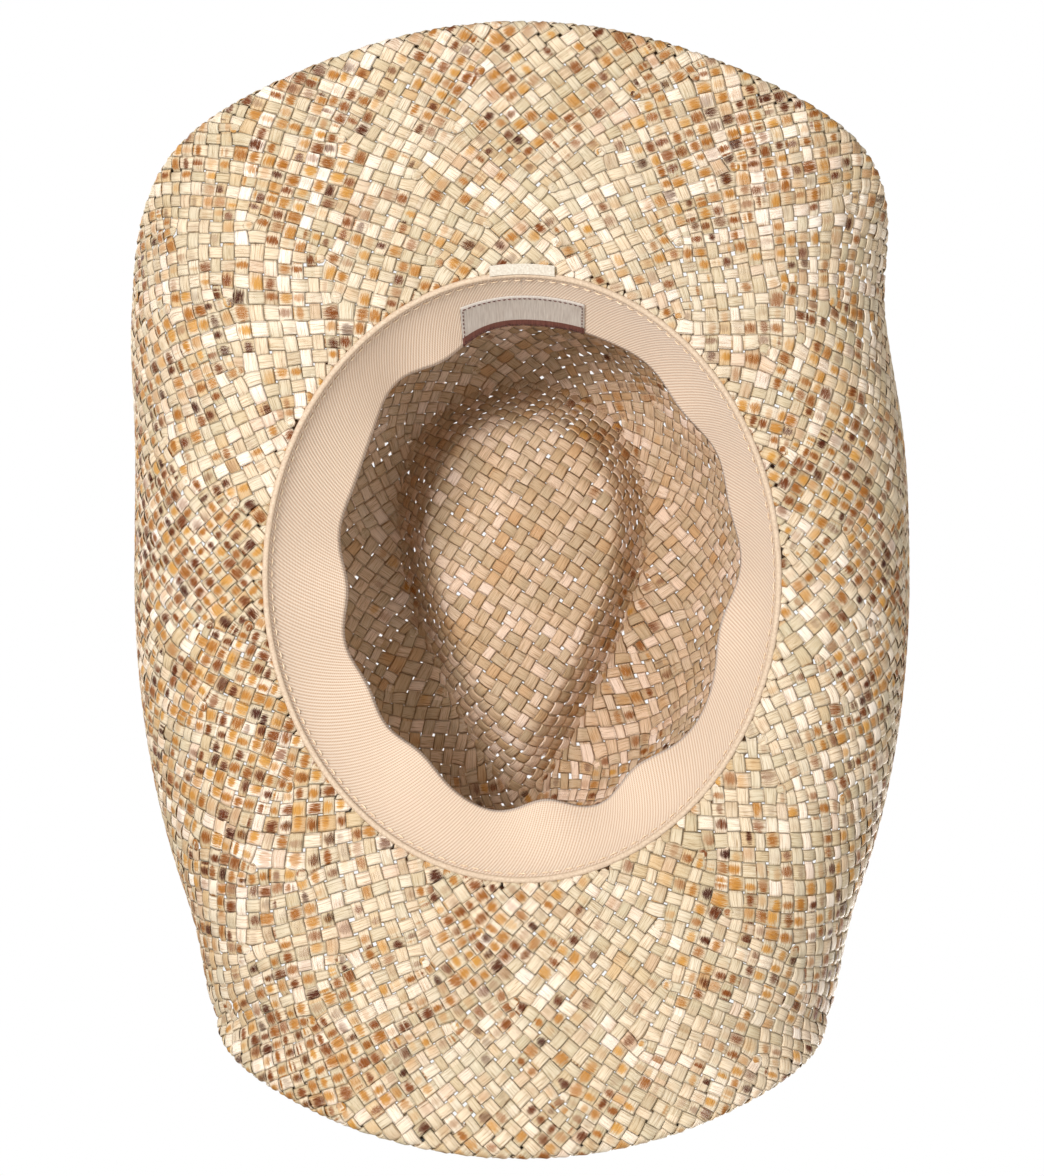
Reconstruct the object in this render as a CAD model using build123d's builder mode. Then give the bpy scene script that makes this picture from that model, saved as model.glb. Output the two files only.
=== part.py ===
from build123d import *
from math import asin, cos, degrees, exp, pi, sin, sqrt
import os

os.makedirs("parts", exist_ok=True)

# ---------------------------------------------------------------- driving dimensions, mm
HEAD_HALF_WIDTH = 85.5  # head oval: 171 x 200 mm, 584 mm round
HEAD_HALF_LENGTH = 100.0
STRAW = 1.2  # woven cloth, two strips of straw thick
GAP = 0.12  # clearance between pieces that lie on each other

# Brim
SIDE_BRIM = 86.5  # brim widths, measured flat from the head oval
FRONT_BRIM = 85.3
BACK_BRIM = 77.2
BACK_CORNER_FULLNESS = 6.0
FRONT_CORNER_FULLNESS = 10.0
CORNER_ANGLE = 48.0  # degrees round the head oval
CORNER_SPREAD = 12.3
ROLL_RADIUS = 45.3  # the sides are rolled up round this radius
BACK_ROLL_OPENING = 39.0  # the roll opens out towards the corners
FRONT_ROLL_OPENING = 15.4
BACK_ROLL_OPENS = 87.0  # distances from the middle of the head oval
FRONT_ROLL_OPENS = 104.0
BACK_ROLL_REACH = 280.0
FRONT_ROLL_REACH = 146.5
BACK_ROLL_START = 24.0  # nearest that the roll starts to the centre line
FRONT_ROLL_START = 46.0
SWAY = 4.6  # the rolled sides lean towards the wearer's left near the back
SWAY_Y = 91.0
SWAY_SPREAD = 34.5
BRIM_DIP = 18.0  # front and back edges hang this far below the sides of the head oval
DIP_POWER = 2.4

# Crown
CROWN_HEIGHT = 108.0
CROWN_TILT = 5.0  # the ridge is this much higher at the back, and lower at the front
CROWN_SQUARENESS = 2.4  # exponent of the wall's profile, 2 would be an ellipse
RIDGE_HALF_WIDTH = 42.5
RIDGE_TAPER = 0.5  # teardrop: full at the back, pinched at the front
RIDGE_HALF_LENGTH = 77.0
RIDGE_CENTRE_Y = -4.0
PINCH = 7.0  # side dents near the front
DENT_DEPTH = 19.0
DENT_BOWL = 5.0
DENT_WALL = 0.34  # share of the way in over which the crease drops
DENT_FLAT = 0.9  # the middle of the dent is flat from here
DENT_CENTRE_Y = 12.0

# Brim edge
HEM_WIDTH = 10.0
HEM_THICKNESS = 0.9
WIRE_DIAMETER = 1.4
SLEEVE_DIAMETER = 2.2
SLEEVE_BORE = 1.6
SLEEVE_LENGTH = 8.0
THREAD = 0.5

# Sweatband and label
BAND_HEIGHT = 31.0
BAND_THICKNESS = 0.9
BAND_INSET = 2.5  # face towards the head, in from the middle of the crown wall
BAND_LEAN = 17.6  # how far the free edge leans inward
BAND_LEAN_SIDE = 5.8  # more on the wearer's left
BAND_LEAN_FRONT = 3.8
PIPING_DIAMETER = 2.6
LABEL_WIDTH = 41.0
LABEL_FOOT = 0.45  # shares of the sweatband's height
LABEL_TOP = 0.98
LABEL_THICKNESS = 0.4
TAPE_WIDTH = 21.0
TAPE_THICKNESS = 0.5
TAPE_OUTSIDE = 1.4  # how far it shows outside the head oval

# Hatband
STRAP_FOOT = 3.0  # heights above the brim
STRAP_TOP = 25.0
STRAP_THICKNESS = 1.8
STRAP_END_LENGTH = 58.0
KEEPER_WIDTH = 9.0
KEEPER_THICKNESS = 1.2
KEEPER_Y = 20.0
CONCHO_DIAMETER = 22.0
CONCHO_RIM = 1.2
CONCHO_HEIGHT = 3.6
POST_DIAMETER = 4.0
POST_CAP_DIAMETER = 9.0
POST_CAP_THICKNESS = 1.2

LOOP_POINTS = 48  # points on each closed curve round the hat


# ---------------------------------------------------------------- the hat's two surfaces
def blend(share):
    """Smooth step from 0 to 1."""
    share = min(1.0, max(0.0, share))
    return share * share * (3 - 2 * share)


def brim_width(angle):
    """Width of the flat brim at an angle round the head oval; +Y, the back, is at 90 degrees."""
    back = sin(angle) > 0
    end = BACK_BRIM if back else FRONT_BRIM
    fullness = BACK_CORNER_FULLNESS if back else FRONT_CORNER_FULLNESS
    from_side = degrees(asin(abs(sin(angle))))
    corner = exp(-(((from_side - CORNER_ANGLE) / CORNER_SPREAD) ** 2))
    return SIDE_BRIM + (end - SIDE_BRIM) * sin(angle) ** 2 + fullness * corner


def dip(y):
    """How far the brim and the head oval hang down towards the front and the back."""
    edge = HEAD_HALF_LENGTH + (BACK_BRIM if y > 0 else FRONT_BRIM)
    return BRIM_DIP * (abs(y) / edge) ** DIP_POWER


def roll(y):
    """Where the rolled side starts, from the centre line, and the radius that it is rolled to."""
    if y > 0:
        nearest, reach = BACK_ROLL_START, BACK_ROLL_REACH
        opening = BACK_ROLL_OPENING * max(0.0, (y - BACK_ROLL_OPENS) / 70) ** 2
    else:
        nearest, reach = FRONT_ROLL_START, FRONT_ROLL_REACH
        opening = FRONT_ROLL_OPENING * max(0.0, (-y - FRONT_ROLL_OPENS) / 44) ** 2
    share = max(0.0, 1 - (y / reach) ** 2)
    start = sqrt(nearest**2 + (HEAD_HALF_WIDTH**2 - nearest**2) * share)
    return start, ROLL_RADIUS + opening


def brim_surface(angle, out):
    """Middle of the brim, a distance out from the head oval."""
    across, along = cos(angle) / HEAD_HALF_WIDTH, sin(angle) / HEAD_HALF_LENGTH
    size = sqrt(across**2 + along**2)
    x = HEAD_HALF_WIDTH * cos(angle) + out * across / size
    y = HEAD_HALF_LENGTH * sin(angle) + out * along / size
    start, radius = roll(y)
    turn = max(0.0, abs(x) - start) / radius
    side = 1 if x > 0 else -1
    sway = SWAY * exp(-(((y - SWAY_Y) / SWAY_SPREAD) ** 2)) * blend(out / 60)
    rolled_x = side * (min(abs(x), start) + radius * sin(turn)) + sway
    return Vector(rolled_x, y, radius * (1 - cos(turn)) - dip(y))


def ridge_height(angle):
    return CROWN_HEIGHT + CROWN_TILT * sin(angle)


def climb_at(angle, height):
    """The climb, as crown_surface takes it, that reaches a height up the wall."""
    return 2 / pi * asin((height / ridge_height(angle)) ** (CROWN_SQUARENESS / 2))


def crown_surface(angle, climb):
    """Middle of the crown: climb 0 at the head oval, 1 on the ridge, 2 in the middle of the dent."""
    foot = Vector(HEAD_HALF_WIDTH * cos(angle), HEAD_HALF_LENGTH * sin(angle), 0)
    taper = 1 + RIDGE_TAPER * sin(angle)
    ridge_y = RIDGE_HALF_LENGTH * sin(angle) + RIDGE_CENTRE_Y
    ridge = Vector(RIDGE_HALF_WIDTH * cos(angle) * taper, ridge_y, 0)
    height = ridge_height(angle)
    if climb <= 1:
        turn = climb * pi / 2
        spread = max(0.0, cos(turn)) ** (2 / CROWN_SQUARENESS)
        rise = sin(turn) ** (2 / CROWN_SQUARENESS)
        front = exp(-(((angle + pi / 2 - 0.75) / 0.4) ** 2)) + exp(-(((angle + pi / 2 + 0.75) / 0.4) ** 2))
        pinch = PINCH * front * sin(pi * rise) ** 2 if rise < 1 else 0.0
        point = ridge + (foot - ridge) * spread
        inward = Vector(-point.X, -point.Y, 0).normalized() * pinch
        return point + inward + Vector(0, 0, height * rise - dip(foot.Y) * (1 - rise))
    share = climb - 1
    centre = Vector(0, DENT_CENTRE_Y, 0)
    level = height + (CROWN_HEIGHT - height) * blend(share / DENT_FLAT)
    fall = DENT_DEPTH * blend(share / DENT_WALL) + DENT_BOWL * blend(share / DENT_FLAT)
    return ridge + (centre - ridge) * share + Vector(0, 0, level - fall)


def lifted(surface, angle, along, lift, outward=1):
    """A point a distance off a surface, up from the brim or out from the crown."""
    step = 1e-3
    across = surface(angle + step, along) - surface(angle - step, along)
    onward = surface(angle, along + step) - surface(angle, along - step)
    return surface(angle, along) + onward.cross(across).normalized() * lift * outward


def on_brim(angle, out, lift):
    return lifted(brim_surface, angle, out, lift)


def from_edge(angle, inset, lift):
    return lifted(brim_surface, angle, brim_width(angle) - inset, lift)


def on_crown(angle, height, lift):
    return lifted(crown_surface, angle, climb_at(angle, height), lift, outward=-1)


def inside_oval(angle, inward, height):
    """A point in from the head oval, at a height above its dipping line."""
    x = (HEAD_HALF_WIDTH - inward) * cos(angle)
    y = (HEAD_HALF_LENGTH - inward) * sin(angle)
    return Vector(x, y, height - dip(HEAD_HALF_LENGTH * sin(angle)))


def on_band(angle, share, lift):
    """Sweatband: share 0 at its piped edge, 1 at the free edge; lift towards the head."""
    lean = BAND_LEAN + BAND_LEAN_SIDE * cos(angle) - BAND_LEAN_FRONT * sin(angle)
    height = sqrt(BAND_HEIGHT**2 - lean**2)
    return inside_oval(angle, BAND_INSET + lean * share**1.3 + lift, height * share)


# The hat stands on the front and back of its brim, and the origin is under the middle of it.
FRONT_FOOT = from_edge(-pi / 2, 0, -STRAW / 2)
BACK_FOOT = from_edge(pi / 2, 0, -STRAW / 2)
FRONT_TIP = from_edge(-pi / 2, 0, STRAW / 2)
BACK_TIP = from_edge(pi / 2, 0, STRAW / 2)
STAND = Vector(
    0,
    -(min(FRONT_FOOT.Y, FRONT_TIP.Y) + max(BACK_FOOT.Y, BACK_TIP.Y)) / 2,
    -min(FRONT_FOOT.Z, BACK_FOOT.Z),
)


# ---------------------------------------------------------------- ways to make a closed ring
def loop(place, *where):
    """Closed curve round the hat through place(angle, ...)."""
    angles = [2 * pi * i / LOOP_POINTS for i in range(LOOP_POINTS)]
    points = [place(angle, *where) + STAND for angle in angles]
    return Wire([Edge.make_spline(points, periodic=True)])


def ring(place, section):
    """Solid ring whose section is a polygon of (along, lift) corners, carried round the hat."""
    loops = [loop(place, *corner) for corner in section]
    sides = [Shell.make_loft([a, b], ruled=True) for a, b in zip(loops, loops[1:] + loops[:1])]
    return Solid(Shell([face for side in sides for face in side.faces()]))


def round_section(along, lift, diameter, squeeze=1.0, corners=8):
    """Corners of a round section; squeeze turns mm into the units of the place's first value."""
    turns = [2 * pi * i / corners for i in range(corners)]
    radius = diameter / 2
    return [(along + radius * squeeze * cos(t), lift + radius * sin(t)) for t in turns]


def skin(place, stations, thickness, closed_end=False):
    """Thin shell through loops at the stations, with rims, or a flat cap at the last one."""
    near = [loop(place, station, -thickness / 2) for station in stations]
    far = [loop(place, station, thickness / 2) for station in stations]
    faces = [*Shell.make_loft(near, ruled=True).faces(), *Shell.make_loft(far, ruled=True).faces()]
    faces += Shell.make_loft([near[0], far[0]], ruled=True).faces()
    if closed_end:
        faces += [Face(near[-1]), Face(far[-1])]
    else:
        faces += Shell.make_loft([near[-1], far[-1]], ruled=True).faces()
    return Solid(Shell(faces))


def slab(low, high, near, far, steps=4):
    """Section of a thin band from low to high along a surface, between two lifts."""
    stations = [low + (high - low) * i / steps for i in range(steps + 1)]
    return [(s, near) for s in stations] + [(s, far) for s in reversed(stations)]


def beside_left(width, y):
    """Box that keeps a stretch of a ring on the wearer's left, about a place along the hat."""
    return Pos(HEAD_HALF_WIDTH, y + STAND.Y, 50) * Box(60, width, 200)


def behind(width):
    """Box that keeps a stretch of a ring at the middle of the back."""
    return Pos(0, HEAD_HALF_LENGTH + STAND.Y, 50) * Box(width, 100, 200)


def stitch_plane(place, angle, along, lift, turned=False):
    """Plane of one stitch: its x runs round the hat, or up the piece where it is turned."""
    here = place(angle, along, lift)
    across = (place(angle + 0.01, along, lift) - here).normalized()
    onward = (place(angle, along + 0.01, lift) - here).normalized()
    return Plane(here + STAND, x_dir=onward if turned else across, z_dir=across.cross(onward))


# ---------------------------------------------------------------- straw body
CROWN_STATIONS = [0, 0.05, 0.12, 0.24, 0.36, 0.48, 0.6, 0.7, 0.8, 0.88, 0.94, 1]
CROWN_STATIONS += [1.05, 1.1, 1.15, 1.2, 1.26, 1.34, 1.48, 1.65, 1.93]

HEM_BASE = STRAW / 2 + GAP
HEM_ROOM = SLEEVE_DIAMETER + 2 * GAP
HEM_BENDS = [HEM_WIDTH, HEM_ROOM + HEM_THICKNESS, HEM_THICKNESS, 0]  # in from the brim's edge
BRIM_SHARES = [0, 0.13, 0.25, 0.38, 0.5, 0.63, 0.75, 0.88, 1]
BRIM_STATIONS = BRIM_SHARES + [2 - inset / HEM_WIDTH for inset in HEM_BENDS[1:]]


def crown_place(angle, climb, lift):
    foot = climb_at(angle, STRAW / 2 + GAP)
    return lifted(crown_surface, angle, max(climb, foot), lift, outward=-1)


def brim_place(angle, station, lift):
    """Station 0 is at the head oval, 1 where the turned-back edge begins and 2 at the edge."""
    plain = brim_width(angle) - HEM_WIDTH + STRAW / 2
    return on_brim(angle, -STRAW / 2 + min(station, 1) * plain + max(0, station - 1) * HEM_WIDTH, lift)


# The hatband's screw goes through the wall on the wearer's left.
POST_PLANE = Plane(on_crown(0, (STRAP_FOOT + STRAP_TOP) / 2, 0) + STAND, z_dir=(1, 0, 0))
POST_CLEARANCE = POST_DIAMETER / 2 + GAP

with BuildPart() as crown:
    add(skin(crown_place, CROWN_STATIONS, STRAW, closed_end=True))
    with Locations(POST_PLANE):
        Cylinder(POST_CLEARANCE, 8, mode=Mode.SUBTRACT)
crown.part.label = "crown"
export_step(crown.part, "parts/crown.step")

with BuildPart() as brim:
    add(skin(brim_place, BRIM_STATIONS, STRAW))
brim.part.label = "brim"
export_step(brim.part, "parts/brim.step")

# ---------------------------------------------------------------- edge of the brim
# The straw is turned back over the top of the brim, round a wire, and sewn down.
HEM_SECTION = [
    (HEM_WIDTH, HEM_BASE),
    (HEM_BENDS[1], HEM_BASE),
    (HEM_BENDS[1], HEM_BASE + HEM_ROOM),
    (HEM_BENDS[2], HEM_BASE + HEM_ROOM),
    (HEM_BENDS[2], HEM_BASE),
    (0, HEM_BASE),
    (0, HEM_BASE + HEM_ROOM + HEM_THICKNESS),
    (HEM_BENDS[1] + HEM_THICKNESS, HEM_BASE + HEM_ROOM + HEM_THICKNESS),
    (HEM_BENDS[1] + 2 * HEM_THICKNESS, HEM_BASE + HEM_THICKNESS),
    (HEM_WIDTH, HEM_BASE + HEM_THICKNESS),
]
WIRE_INSET = HEM_THICKNESS + HEM_ROOM / 2
WIRE_LIFT = HEM_BASE + HEM_ROOM / 2
HEM_STITCH_INSET = HEM_WIDTH - 2

with BuildPart() as brim_hem:
    add(ring(from_edge, HEM_SECTION))
brim_hem.part.label = "brim_hem"
export_step(brim_hem.part, "parts/brim_hem.step")

with BuildPart() as brim_wire:
    add(ring(from_edge, round_section(WIRE_INSET, WIRE_LIFT, WIRE_DIAMETER)))
brim_wire.part.label = "brim_wire"
export_step(brim_wire.part, "parts/brim_wire.step")

with BuildPart() as wire_sleeve:
    with Locations(Plane(from_edge(pi / 2, WIRE_INSET, WIRE_LIFT) + STAND, z_dir=(1, 0, 0))):
        Cylinder(SLEEVE_DIAMETER / 2, SLEEVE_LENGTH)
        Cylinder(SLEEVE_BORE / 2, SLEEVE_LENGTH, mode=Mode.SUBTRACT)
wire_sleeve.part.label = "wire_sleeve"
export_step(wire_sleeve.part, "parts/wire_sleeve.step")

with BuildPart() as hem_stitching:
    lift = HEM_BASE + HEM_THICKNESS + GAP
    low, high = HEM_STITCH_INSET - THREAD / 2, HEM_STITCH_INSET + THREAD / 2
    add(ring(from_edge, slab(low, high, lift, lift + THREAD, steps=1)))
hem_stitching.part.label = "hem_stitching"
export_step(hem_stitching.part, "parts/hem_stitching.step")

# ---------------------------------------------------------------- sweatband
PIPING_INWARD = STRAW / 2 + GAP + PIPING_DIAMETER / 2
BAND_FOOT = 0.07  # share at which the tape clears the piping
BAND_STITCH = 0.12

with BuildPart() as sweatband:
    add(ring(on_band, slab(BAND_FOOT, 1, 0, -BAND_THICKNESS, steps=5)))
sweatband.part.label = "sweatband"
export_step(sweatband.part, "parts/sweatband.step")

with BuildPart() as sweatband_piping:
    add(ring(inside_oval, round_section(PIPING_INWARD, 0, PIPING_DIAMETER)))
sweatband_piping.part.label = "sweatband_piping"
export_step(sweatband_piping.part, "parts/sweatband_piping.step")

with BuildPart() as sweatband_stitching:
    add(ring(on_band, slab(BAND_STITCH, BAND_STITCH + 0.02, 3 * GAP, 3 * GAP + THREAD, steps=1)))
sweatband_stitching.part.label = "sweatband_stitching"
export_step(sweatband_stitching.part, "parts/sweatband_stitching.step")

with BuildPart() as band_join_tape:
    tape_top = -PIPING_DIAMETER / 2 - GAP
    add(ring(inside_oval, slab(-TAPE_OUTSIDE, PIPING_INWARD, tape_top - TAPE_THICKNESS, tape_top, steps=1)))
    add(behind(TAPE_WIDTH), mode=Mode.INTERSECT)
band_join_tape.part.label = "band_join_tape"
export_step(band_join_tape.part, "parts/band_join_tape.step")

with BuildPart() as label:
    add(ring(on_band, slab(LABEL_FOOT, LABEL_TOP, GAP, GAP + LABEL_THICKNESS)))
    add(behind(LABEL_WIDTH), mode=Mode.INTERSECT)
label.part.label = "label"
export_step(label.part, "parts/label.step")

with BuildPart() as label_stitching:
    stitch_lift = 2 * GAP + LABEL_THICKNESS + THREAD / 2
    half_angle = (LABEL_WIDTH / 2 - 1) / (HEAD_HALF_WIDTH - BAND_INSET)
    long_run, short_run, margin = 12, 5, 0.04
    planes = []
    for i in range(long_run):
        angle = pi / 2 + half_angle * ((2 * i + 1) / long_run - 1)
        planes.append(stitch_plane(on_band, angle, LABEL_FOOT + margin, stitch_lift))
        planes.append(stitch_plane(on_band, angle, LABEL_TOP - margin, stitch_lift))
    for i in range(short_run):
        share = LABEL_FOOT + (LABEL_TOP - LABEL_FOOT) * (i + 1) / (short_run + 1)
        planes.append(stitch_plane(on_band, pi / 2 - half_angle, share, stitch_lift, turned=True))
        planes.append(stitch_plane(on_band, pi / 2 + half_angle, share, stitch_lift, turned=True))
    with Locations(*planes):
        Box(1.8, THREAD, THREAD)
label_stitching.part.label = "label_stitching"
export_step(label_stitching.part, "parts/label_stitching.step")

# ---------------------------------------------------------------- hatband
STRAP_BACK = STRAW / 2 + 2 * GAP
STRAP_FACE = STRAP_BACK + STRAP_THICKNESS
END_BACK = STRAP_FACE + 2 * GAP + THREAD
END_FACE = END_BACK + STRAP_THICKNESS
KEEPER_BACK = END_FACE + 2 * GAP
STITCH_ROWS = [STRAP_FOOT + 2, STRAP_TOP - 2]

with BuildPart() as hatband:
    add(ring(on_crown, slab(STRAP_FOOT, STRAP_TOP, STRAP_BACK, STRAP_FACE)))
    with Locations(POST_PLANE):
        Cylinder(POST_CLEARANCE, 20, mode=Mode.SUBTRACT)
hatband.part.label = "hatband"
export_step(hatband.part, "parts/hatband.step")

with BuildPart() as hatband_end:
    add(ring(on_crown, slab(STRAP_FOOT, STRAP_TOP, END_BACK, END_FACE)))
    add(beside_left(STRAP_END_LENGTH, STRAP_END_LENGTH / 4), mode=Mode.INTERSECT)
    with Locations(POST_PLANE):
        Cylinder(POST_CLEARANCE, 20, mode=Mode.SUBTRACT)
hatband_end.part.label = "hatband_end"
export_step(hatband_end.part, "parts/hatband_end.step")

with BuildPart() as hatband_keeper:
    low, high = STRAP_FOOT - GAP, STRAP_TOP + GAP
    face = KEEPER_BACK + KEEPER_THICKNESS
    inner = [(low, STRAP_BACK), (low, KEEPER_BACK), (high, KEEPER_BACK), (high, STRAP_BACK)]
    outer = [(high + 1, STRAP_BACK), (high + 1, face), (low - 1, face), (low - 1, STRAP_BACK)]
    add(ring(on_crown, inner + outer))
    add(beside_left(KEEPER_WIDTH, KEEPER_Y), mode=Mode.INTERSECT)
hatband_keeper.part.label = "hatband_keeper"
export_step(hatband_keeper.part, "parts/hatband_keeper.step")

with BuildPart() as hatband_stitching:
    for row in STITCH_ROWS:
        lift = STRAP_FACE + GAP
        add(ring(on_crown, slab(row - THREAD / 2, row + THREAD / 2, lift, lift + THREAD, steps=1)))
hatband_stitching.part.label = "hatband_stitching"
export_step(hatband_stitching.part, "parts/hatband_stitching.step")

with BuildPart() as hatband_tacks:
    lift = STRAP_BACK + THREAD / 2
    height = STRAP_TOP + 2
    turns = [pi / 2, pi, -pi / 2, pi / 4]
    with Locations(*[stitch_plane(on_crown, turn, height, lift, turned=True) for turn in turns]):
        Box(3, THREAD, THREAD)
hatband_tacks.part.label = "hatband_tacks"
export_step(hatband_tacks.part, "parts/hatband_tacks.step")

CONCHO_BACK = END_FACE + 3 * GAP

# Domed ornament on the strap's overlapped end, held by a screw from inside the crown
with BuildPart() as concho:
    with BuildSketch(POST_PLANE.offset(CONCHO_BACK)):
        Circle(CONCHO_DIAMETER / 2)
    extrude(amount=CONCHO_RIM)
    with BuildSketch(POST_PLANE.offset(CONCHO_BACK + CONCHO_RIM)):
        Circle(CONCHO_DIAMETER / 2 - 1)
    extrude(amount=CONCHO_HEIGHT - CONCHO_RIM, taper=60)
concho.part.label = "concho"
export_step(concho.part, "parts/concho.step")

with BuildPart() as concho_screw:
    cap_top = -STRAW / 2 - 5 * GAP
    with BuildSketch(POST_PLANE.offset(cap_top - POST_CAP_THICKNESS)):
        Circle(POST_CAP_DIAMETER / 2)
    extrude(amount=POST_CAP_THICKNESS)
    with BuildSketch(POST_PLANE.offset(cap_top)):
        Circle(POST_DIAMETER / 2)
    extrude(amount=CONCHO_BACK - cap_top)
concho_screw.part.label = "concho_screw"
export_step(concho_screw.part, "parts/concho_screw.step")
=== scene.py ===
"""A toasted-seagrass cowboy hat, seen from below: woven straw, sweatband, label, hatband."""
import math
import random

import bpy
import mathutils
from mathutils.bvhtree import BVHTree
import numpy as np
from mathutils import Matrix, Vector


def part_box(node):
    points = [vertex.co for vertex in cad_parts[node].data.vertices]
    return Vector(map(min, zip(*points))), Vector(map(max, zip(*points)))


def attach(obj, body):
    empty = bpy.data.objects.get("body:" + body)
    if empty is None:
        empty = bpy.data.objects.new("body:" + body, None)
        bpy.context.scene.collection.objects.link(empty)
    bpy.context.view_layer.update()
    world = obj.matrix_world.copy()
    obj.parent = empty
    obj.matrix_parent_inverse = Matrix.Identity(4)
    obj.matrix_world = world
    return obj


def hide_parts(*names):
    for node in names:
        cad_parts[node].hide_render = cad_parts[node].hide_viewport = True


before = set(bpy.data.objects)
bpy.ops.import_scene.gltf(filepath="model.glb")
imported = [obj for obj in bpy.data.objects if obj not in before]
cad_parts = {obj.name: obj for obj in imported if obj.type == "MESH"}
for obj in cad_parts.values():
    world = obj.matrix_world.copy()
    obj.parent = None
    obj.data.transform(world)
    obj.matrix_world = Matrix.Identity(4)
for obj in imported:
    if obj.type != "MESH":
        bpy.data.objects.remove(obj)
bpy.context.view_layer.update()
MM = 0.001

# ---------------------------------------------------------------- the hat's sizes, mm
HALF_WIDTH, HALF_LENGTH = 85.5, 100.0
SIDE_BRIM, FRONT_BRIM, BACK_BRIM = 86.5, 85.3, 77.2
BACK_CORNER, FRONT_CORNER = 6.0, 10.0
CORNER_ANGLE, CORNER_SPREAD = 48.0, 12.3
ROLL_RADIUS, BACK_OPENING, FRONT_OPENING = 45.3, 39.0, 15.4
BACK_OPENS, FRONT_OPENS = 87.0, 104.0
BACK_REACH, FRONT_REACH = 280.0, 146.5
BACK_START, FRONT_START = 24.0, 46.0
SWAY, SWAY_Y, SWAY_SPREAD = 4.6, 91.0, 34.5
BRIM_DIP, DIP_POWER = 18.0, 2.4
CROWN_HEIGHT, CROWN_TILT, SQUARENESS = 108.0, 5.0, 2.4
RIDGE_HALF_WIDTH, RIDGE_TAPER, RIDGE_HALF_LENGTH, RIDGE_Y = 42.5, 0.5, 77.0, -4.0
PINCH = 7.0
DENT_DEPTH, DENT_BOWL, DENT_WALL, DENT_FLAT, DENT_Y = 19.0, 5.0, 0.34, 0.9, 12.0
STRAW = 1.2
EDGE_ROUND = 1.9  # radius that the straw turns back round the wire
HEM_WIDTH = 10.0
TUCKED_IN = 1.6  # the brim runs this far inside the head oval
BAND_HEIGHT, BAND_INSET, BAND_LEAN, BAND_LEAN_SIDE, BAND_LEAN_FRONT = 31.0, 2.5, 17.6, 5.8, 3.8
PIPING = 2.6
PIPING_RADIUS = 1.05  # the cord inside its cover, pressed flat by the sewing
STRIP_PITCH = 4.35
STRIP_THICKNESS = 0.34
STRIP_LIFT = 0.46  # over and under the middle of the cloth
GRID_TURN = 33.0  # degrees from the hat's long axis to the weave on its top

crown_low, crown_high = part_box("crown")
MIDDLE_Y = (crown_low[1] + crown_high[1]) / 2 / MM
HEAD_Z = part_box("sweatband_piping")[1][2] / MM - PIPING / 2  # sides of the head oval


# ---------------------------------------------------------------- surfaces
def blend(share):
    share = np.clip(share, 0, 1)
    return share * share * (3 - 2 * share)


def dip(y):
    edge = HALF_LENGTH + np.where(y > 0, BACK_BRIM, FRONT_BRIM)
    return BRIM_DIP * (np.abs(y) / edge) ** DIP_POWER


def brim_width(angle):
    back = np.sin(angle) > 0
    end = np.where(back, BACK_BRIM, FRONT_BRIM)
    fullness = np.where(back, BACK_CORNER, FRONT_CORNER)
    from_side = np.degrees(np.arcsin(np.abs(np.sin(angle))))
    corner = np.exp(-(((from_side - CORNER_ANGLE) / CORNER_SPREAD) ** 2))
    return SIDE_BRIM + (end - SIDE_BRIM) * np.sin(angle) ** 2 + fullness * corner


def brim_surface(angle, out):
    across, along = np.cos(angle) / HALF_WIDTH, np.sin(angle) / HALF_LENGTH
    size = np.hypot(across, along)
    x = HALF_WIDTH * np.cos(angle) + out * across / size
    y = HALF_LENGTH * np.sin(angle) + out * along / size
    back = y > 0
    nearest = np.where(back, BACK_START, FRONT_START)
    reach = np.where(back, BACK_REACH, FRONT_REACH)
    back_open = BACK_OPENING * np.maximum(0, (y - BACK_OPENS) / 70) ** 2
    front_open = FRONT_OPENING * np.maximum(0, (-y - FRONT_OPENS) / 44) ** 2
    share = np.maximum(0, 1 - (y / reach) ** 2)
    start = np.sqrt(nearest**2 + (HALF_WIDTH**2 - nearest**2) * share)
    radius = ROLL_RADIUS + back_open + front_open
    turn = np.maximum(0, np.abs(x) - start) / radius
    sway = SWAY * np.exp(-(((y - SWAY_Y) / SWAY_SPREAD) ** 2)) * blend(out / 60)
    rolled = np.sign(x) * (np.minimum(np.abs(x), start) + radius * np.sin(turn)) + sway
    return np.stack([rolled, y + 0 * out, radius * (1 - np.cos(turn)) - dip(y)], -1)


def ridge_height(angle):
    return CROWN_HEIGHT + CROWN_TILT * np.sin(angle)


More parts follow.
